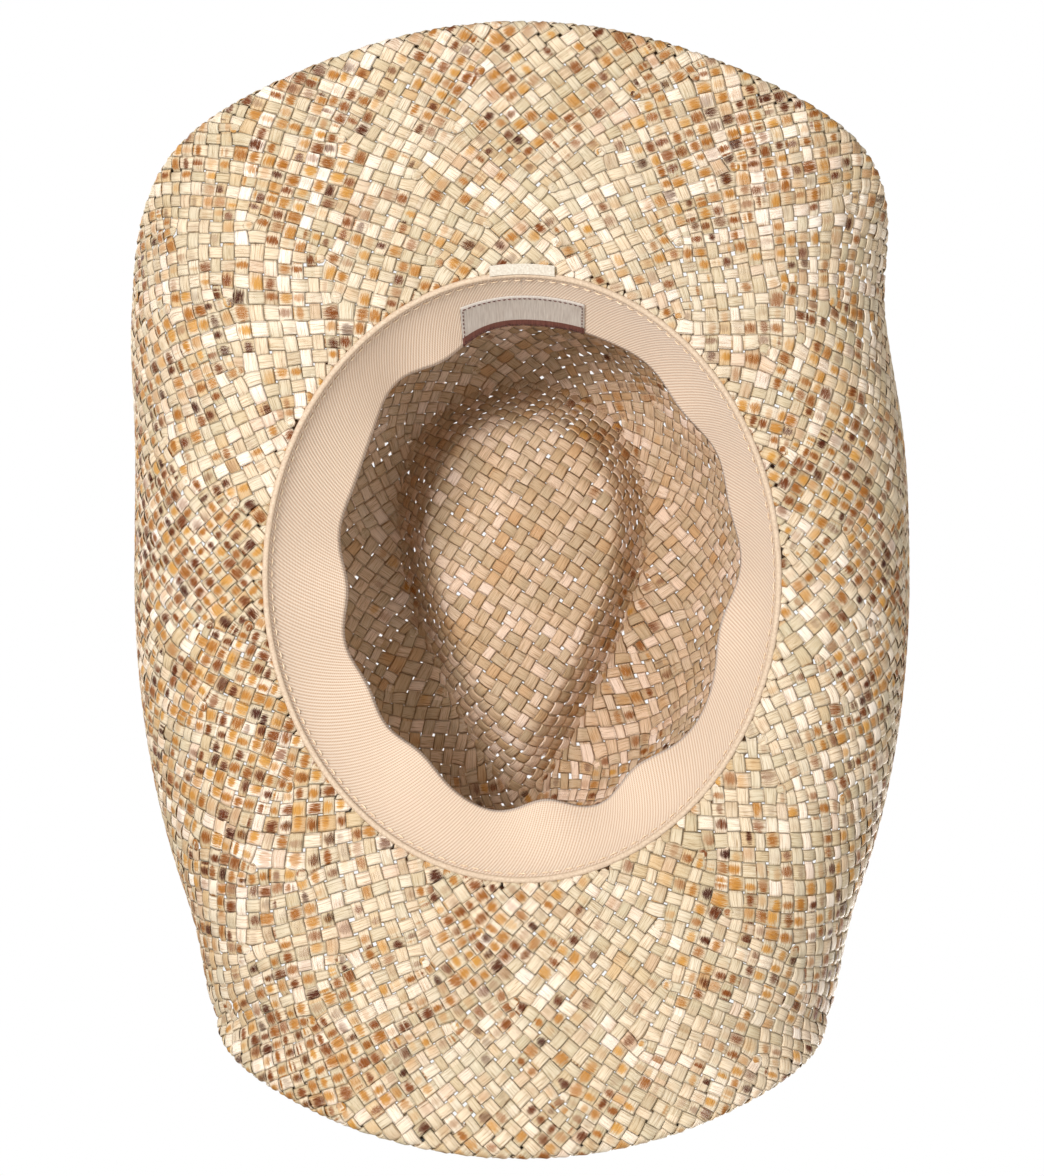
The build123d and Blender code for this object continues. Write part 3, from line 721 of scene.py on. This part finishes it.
def metal_material(name, dark, light, roughness):
    """Tarnished metal, smoother where it is dark."""
    n = Nodes(name, roughness)
    n.shader.inputs["Metallic"].default_value = 1.0
    place = n.add("ShaderNodeTexCoord").outputs["Object"]
    worn = n.add("ShaderNodeTexNoise", {"Vector": place, "Scale": 260.0, "Detail": 5.0}).outputs["Fac"]
    n.link(n.ramp(worn, [(0.35, dark), (0.65, light)]), "Base Color")
    n.link(n.maths("ADD", roughness - 0.1, n.maths("MULTIPLY", worn, 0.25)), "Roughness")
    n.bump(worn, 0.15, 0.0002)
    return n.material


# ---------------------------------------------------------------- camera, floor, light
HEAD = np.array([0, MIDDLE_Y, HEAD_Z]) * MM
CAMERA_DISTANCE = 1.0
FRAME_HEIGHT = 0.3824  # metres seen at the head oval
CAMERA_FORWARD = 0.0034  # the view is centred a little in front of the head oval
SENSOR_HEIGHT = 24.0  # mm
FLOOR_REACH = 3.0
FLOOR_DROP = 0.0006  # keeps the floor clear of the strips that rest on it

camera = bpy.data.objects.new("camera", bpy.data.cameras.new("camera"))
bpy.context.scene.collection.objects.link(camera)
camera.location = (HEAD[0], HEAD[1] - CAMERA_FORWARD, HEAD[2] - CAMERA_DISTANCE)
camera.rotation_euler = (0, math.pi, 0)
camera.data.sensor_fit = "VERTICAL"
camera.data.sensor_height = SENSOR_HEIGHT
camera.data.lens = SENSOR_HEIGHT * CAMERA_DISTANCE / FRAME_HEIGHT
camera.data.clip_start = 0.01
bpy.context.scene.camera = camera

floor_mesh = bpy.data.meshes.new("floor")
signs = ((-1, -1), (1, -1), (1, 1), (-1, 1))
corners = [(x * FLOOR_REACH, y * FLOOR_REACH, 0) for x, y in signs]
floor_mesh.from_pydata(corners, [], [(0, 1, 2, 3)])
floor = bpy.data.objects.new("floor", floor_mesh)
floor.location.z = -FLOOR_DROP
bpy.context.scene.collection.objects.link(floor)
floor.visible_shadow = floor.visible_diffuse = floor.visible_glossy = False
paint = Nodes("floor_paint", 0.9)
paint.shader.inputs["Base Color"].default_value = srgb(226, 226, 224)
clear = paint.add("ShaderNodeBsdfTransparent").outputs[0]
under = paint.add("ShaderNodeNewGeometry").outputs["Backfacing"]
sides = paint.add("ShaderNodeMixShader", {0: under, 1: paint.shader.outputs[0], 2: clear})
paint.tree.links.new(sides.outputs[0], paint.tree.nodes["Material Output"].inputs["Surface"])
floor_mesh.materials.append(paint.material)

world = bpy.data.worlds.new("studio")
bpy.context.scene.world = world
world.use_nodes = True
sky = world.node_tree
background = sky.nodes["Background"]
camera_ray = sky.nodes.new("ShaderNodeLightPath").outputs["Is Camera Ray"]
level = sky.nodes.new("ShaderNodeMapRange")
sky.links.new(camera_ray, level.inputs["Value"])
level.inputs["To Min"].default_value = 0.50
level.inputs["To Max"].default_value = 1.0
sky.links.new(level.outputs[0], background.inputs["Strength"])
background.inputs["Color"].default_value = (1, 1, 1, 1)
bpy.context.scene.view_settings.view_transform = "Standard"


def soft_light(name, place, watts, size):
    light = bpy.data.lights.new(name, "AREA")
    light.energy, light.size = watts, size
    lamp = bpy.data.objects.new(name, light)
    lamp.location = place
    aim = HEAD - np.array(place)
    lamp.rotation_euler = mathutils.Vector(aim.tolist()).to_track_quat("-Z", "Y").to_euler()
    bpy.context.scene.collection.objects.link(lamp)


soft_light("key_below", (0.58, 0.24, -1.18), 19, 0.35)
soft_light("fill_below", (-0.7, -0.4, -0.9), 4, 0.9)
soft_light("key_above", (-0.7, -0.8, 1.3), 27, 0.8)
soft_light("fill_above", (0.9, 0.7, 1.0), 14, 0.9)


# ---------------------------------------------------------------- straw body
cream = srgb(255, 252, 255)
# the crown's tint is painted shade: it makes the crown's straw darker and warmer than the brim's to stand for
# the shadow inside the crown
crown_shade_tint = srgb(248, 232, 228)
brim_straw = straw_material("toasted_straw", 0.67, cream)
crown_straw = straw_material("crown_straw", 0.08, crown_shade_tint)


def straw_strips(part, weave, material, seed, *nodes):
    """Both families of one part's strips."""
    for left in (True, False):
        name = f"{part}_strips_{'left' if left else 'right'}"
        for piece in woven_family(name, weave, left, seed + left):
            finished(piece, material, "straw", *nodes)


brim_weave = Weave(brim_cloth(), STRIP_PITCH, seed=4)
straw_strips("brim", brim_weave, brim_straw, 11, "brim", "brim_hem")

crown_weave = Weave(crown_cloth(), STRIP_PITCH, seed=5)
straw_strips("crown", crown_weave, crown_straw, 21, "crown")

dent = DentTop()
for left, run in ((True, "long"), (False, "cross")):
    piece = top_weave("crown_top_" + run, left, dent, seed=31 + left)
    finished(piece, crown_straw, "straw", "crown")


# ---------------------------------------------------------------- sweatband
def inside_oval(angle, inward, height):
    x = (HALF_WIDTH - inward) * np.cos(angle)
    y = (HALF_LENGTH - inward) * np.sin(angle)
    return np.stack(np.broadcast_arrays(x, y, height - dip(HALF_LENGTH * np.sin(angle))), -1)


THREAD_RADIUS = 0.28
BAND_THICKNESS = 0.9
PIPING_INSET = 2.0
ARC = 92.0  # mm to a radian round the band
WAVES = [(6, 1.0, 0.4), (9, 1.3, 3.4), (11, 1.4, 1.2), (15, 0.7, 2.6)]  # count, mm, phase
CALM_BACK = 0.7  # the waves are smaller where the label is sewn


def on_band(angle, share, lift):
    """Sweatband: share 0 at its piping and 1 at its wavy free edge; lift towards the head."""
    lean = BAND_LEAN + BAND_LEAN_SIDE * np.cos(angle) - BAND_LEAN_FRONT * np.sin(angle)
    height = np.sqrt(BAND_HEIGHT**2 - lean**2)
    wave = sum(size * np.sin(count * angle + phase) for count, size, phase in WAVES)
    wave = wave * (1 - CALM_BACK * np.maximum(0, np.sin(angle)) ** 6)
    return inside_oval(angle, BAND_INSET + lean * share**1.3 + wave * share**2 + lift, height * share)


def sheet_piece(name, front, back, facts, closed):
    """Thin closed piece from two facing grids of points, with its weave coordinates."""
    rows, columns = front.shape[:2]
    count = rows * columns
    index = np.arange(count).reshape(rows, columns)
    faces = []
    turns = columns if closed else columns - 1
    for i in range(rows - 1):
        for j in range(turns):
            k = (j + 1) % columns
            a, b, c, d = index[i, j], index[i, k], index[i + 1, k], index[i + 1, j]
            faces.append((a, b, c, d))
            faces.append((d + count, c + count, b + count, a + count))
    for j in range(turns):
        k = (j + 1) % columns
        faces.append((index[0, k], index[0, j], index[0, j] + count, index[0, k] + count))
        faces.append((index[-1, j], index[-1, k], index[-1, k] + count, index[-1, j] + count))
    if not closed:
        for i in range(rows - 1):
            faces.append((index[i, 0], index[i + 1, 0], index[i + 1, 0] + count, index[i, 0] + count))
            faces.append((index[i + 1, -1], index[i, -1], index[i, -1] + count, index[i + 1, -1] + count))
    points = np.vstack([front.reshape(-1, 3), back.reshape(-1, 3)])
    faces = [tuple(int(v) for v in face) for face in faces]
    return new_piece(name, points, faces, np.tile(facts.reshape(-1, 3), (2, 1)))


def tube_piece(name, centres, normals, radius, corners=10):
    """Closed round ring along centres."""
    onward = np.roll(centres, -1, axis=0) - np.roll(centres, 1, axis=0)
    onward /= np.linalg.norm(onward, axis=-1, keepdims=True)
    side = np.cross(onward, normals)
    turns = np.linspace(0, 2 * math.pi, corners, endpoint=False)
    rings = np.array([centres + radius * (side * math.cos(t) + normals * math.sin(t)) for t in turns])
    index = np.arange(corners * len(centres)).reshape(corners, -1)
    near, far = index, np.roll(index, -1, axis=1)
    faces = np.stack([near, far, np.roll(far, -1, axis=0), np.roll(near, -1, axis=0)], -1).reshape(-1, 4)
    run = np.concatenate([[0], np.cumsum(np.linalg.norm(np.diff(centres, axis=0), axis=1))])
    facts = np.stack(np.broadcast_arrays(run[None, :], turns[:, None] * radius, 0.0), -1)
    return new_piece(name, rings.reshape(-1, 3), faces.tolist(), facts.reshape(-1, 3))


def stitches(name, starts, ends, normals, radius):
    """Separate rounded stitches, each arched from its start to its end."""
    verts, faces = [], []
    corners, stations = 6, 5
    for a, b, n in zip(starts, ends, normals):
        run = b - a
        side = np.cross(run, n)
        side /= max(1e-9, np.linalg.norm(side))
        base = len(verts)
        for s in range(stations):
            share = s / (stations - 1)
            fat = radius * (0.35 + 0.65 * math.sin(math.pi * share) ** 0.5)
            middle = a + run * share + n * (math.sin(math.pi * share) * radius * 0.9)
            for c in range(corners):
                t = 2 * math.pi * c / corners
                verts.append(middle + fat * (side * math.cos(t) + n * math.sin(t)))
        for s in range(stations - 1):
            for c in range(corners):
                p, q = base + s * corners + c, base + s * corners + (c + 1) % corners
                faces.append((p, q, q + corners, p + corners))
        faces.append(tuple(base + c for c in reversed(range(corners))))
        faces.append(tuple(base + (stations - 1) * corners + c for c in range(corners)))
    return new_piece(name, np.array(verts), faces)


def stitch_row(name, line, radius, length, gap):
    """Stitches along a closed line; line(angles) gives points and normals."""
    fine = np.linspace(0, 2 * math.pi, 2881)
    points, _ = line(fine)
    run = np.concatenate([[0], np.cumsum(np.linalg.norm(np.diff(points, axis=0), axis=1))])
    count = int(run[-1] / (length + gap))
    begin = np.arange(count) * run[-1] / count
    starts, normals = line(np.interp(begin, run, fine))
    ends, _ = line(np.interp(begin + length, run, fine))
    return stitches(name, starts, ends, normals, radius)


# the second colour is painted shade for the grooves between the twill's ribs
twill = twill_material("cotton_twill", srgb(224, 202, 178), srgb(196, 158, 128))
cream_thread = thread_material("cream_thread", srgb(214, 186, 152), srgb(240, 220, 192))
dark_thread = thread_material("dark_thread", srgb(58, 28, 26), srgb(112, 66, 58))
white_tape = thread_material("white_tape", srgb(188, 176, 158), srgb(214, 204, 188))

around = math.pi / 2 + np.linspace(0, 2 * math.pi, 900, endpoint=False)  # joined at the back
up = np.linspace(0.03, 1, 22)
grid_angle, grid_up = np.meshgrid(around, up)
front = on_band(grid_angle, grid_up, 0.0)
back = on_band(grid_angle, grid_up, -BAND_THICKNESS)
facts = np.stack([grid_angle * ARC, grid_up * BAND_HEIGHT, 0 * grid_up], -1)
sweatband = finished(sheet_piece("sweatband_tape", front, back, facts, True), twill, "twill", "sweatband")

piping_line = inside_oval(around, PIPING_INSET, 0.0)
down = np.tile(np.array([0, 0, -1.0]), (len(around), 1))
piping_cotton = thread_material("piping_cotton", srgb(190, 164, 138), srgb(212, 190, 164))
finished(tube_piece("piping", piping_line, down, PIPING_RADIUS), piping_cotton, "twill", "sweatband_piping")


def band_line(share, lift):
    def line(angles):
        points = on_band(angles, share, lift)
        inward = -points * np.array([1, 1, 0])
        return points, inward / np.linalg.norm(inward, axis=-1, keepdims=True)

    return line


band_row = stitch_row("band_stitches", band_line(0.10, 0.15), THREAD_RADIUS, 2.6, 1.2)
finished(band_row, cream_thread, "thread", "sweatband_stitching")

LABEL_HALF, LABEL_FOOT, LABEL_TOP = 20.5, 0.45, 0.98
LABEL_FRONT, LABEL_BACK = 0.65, 0.15  # mm off the band


def on_label(x, share, lift):
    """A point on the band behind the head, at a place along the hat's width."""
    lean = BAND_LEAN - BAND_LEAN_FRONT
    return on_band(np.arccos(x / (HALF_WIDTH - BAND_INSET - lean * share**1.3)), share, lift)


across, upward = np.linspace(LABEL_HALF, -LABEL_HALF, 60), np.linspace(LABEL_FOOT, LABEL_TOP, 14)
label_x, label_up = np.meshgrid(across, upward)
label_share = (label_up - LABEL_FOOT) / (LABEL_TOP - LABEL_FOOT)
label_facts = np.stack([label_x, label_share, 0 * label_up], -1)
label_front = on_label(label_x, label_up, LABEL_FRONT)
label_back = on_label(label_x, label_up, LABEL_BACK)
label = sheet_piece("satin_label", label_front, label_back, label_facts, False)
finished(label, label_material(), "satin", "label")

STITCH_HALF, THREAD_LIFT = 0.55, 0.75
starts, ends = [], []
for x in np.linspace(-19.3, 19.3, 24):
    for share in (0.48, 0.955):
        starts.append(on_label(x - STITCH_HALF, share, THREAD_LIFT))
        ends.append(on_label(x + STITCH_HALF, share, THREAD_LIFT))
for share in np.linspace(0.52, 0.92, 8):
    for x in (-19.8, 19.8):
        starts.append(on_label(x, share - 0.018, THREAD_LIFT))
        ends.append(on_label(x, share + 0.018, THREAD_LIFT))
starts, ends = np.array(starts).reshape(-1, 3), np.array(ends).reshape(-1, 3)
forward = np.tile(np.array([0, -0.8, -0.6]), (len(starts), 1))
label_rows = stitches("label_stitches", starts, ends, forward, 0.2)
finished(label_rows, dark_thread, "dark_thread", "label_stitching")


# ---------------------------------------------------------------- hem sewing and the hatband
HEM_SEWING, HEM_SEWING_LIFT = 8.0, 2.05  # in from the brim's edge, and off the brim
STRAP_ROWS = (("low", 5.0), ("high", 23.0))  # heights above the brim
RAY_START, RAY_LENGTH = 12.0, 0.02  # mm outside the crown, and metres


def hem_line(angles):
    width = brim_width(angles)
    points = brim_surface(angles, width - HEM_SEWING)
    ahead = brim_surface(angles, width - HEM_SEWING + 0.5)
    beside = brim_surface(angles + 0.005, width - HEM_SEWING)
    normal = np.cross(ahead - points, beside - points)
    normal /= np.linalg.norm(normal, axis=-1, keepdims=True)
    return points + normal * HEM_SEWING_LIFT, normal


STRAP_SKIN = BVHTree.FromObject(bpy.data.objects["hatband"], bpy.context.evaluated_depsgraph_get())


def hatband_line(height, lift):
    """A line on the strap's outer face, at one height above the brim."""
    def line(angles):
        top = ridge_height(angles)
        climb = 2 / math.pi * np.arcsin((height / top) ** (SQUARENESS / 2))
        points = crown_surface(angles, climb)
        out = points * np.array([1, 1, 0])
        normal = out / np.linalg.norm(out, axis=-1, keepdims=True)
        for point, outward in zip(points, normal):
            start = to_world((point + outward * RAY_START)[None])[0]
            found, _, _, distance = STRAP_SKIN.ray_cast(start, -outward, RAY_LENGTH)
            if found is not None:
                point += outward * (RAY_START - distance * 1000 + lift)
        return points, normal

    return line


hem_row = stitch_row("hem_stitches", hem_line, 0.25, 3.4, 2.0)
finished(hem_row, cream_thread, "thread", "hem_stitching")
for name, height in STRAP_ROWS:
    row = stitch_row("strap_stitches_" + name, hatband_line(height, 0.12), THREAD_RADIUS, 2.8, 1.3)
    finished(row, cream_thread, "thread", "hatband_stitching")

leather = leather_material()
silver = metal_material("antique_metal", srgb(96, 88, 76), srgb(196, 190, 178), 0.32)
steel = metal_material("wire_steel", srgb(120, 120, 122), srgb(190, 190, 192), 0.3)
CAD_LOOKS = {
    "hatband": leather, "hatband_end": leather, "hatband_keeper": leather,
    "concho": silver, "concho_screw": silver, "brim_wire": steel, "wire_sleeve": steel,
    "hatband_tacks": cream_thread, "band_join_tape": white_tape,
}
for node, material in CAD_LOOKS.items():
    for slot in bpy.data.objects[node].material_slots:
        slot.material = material
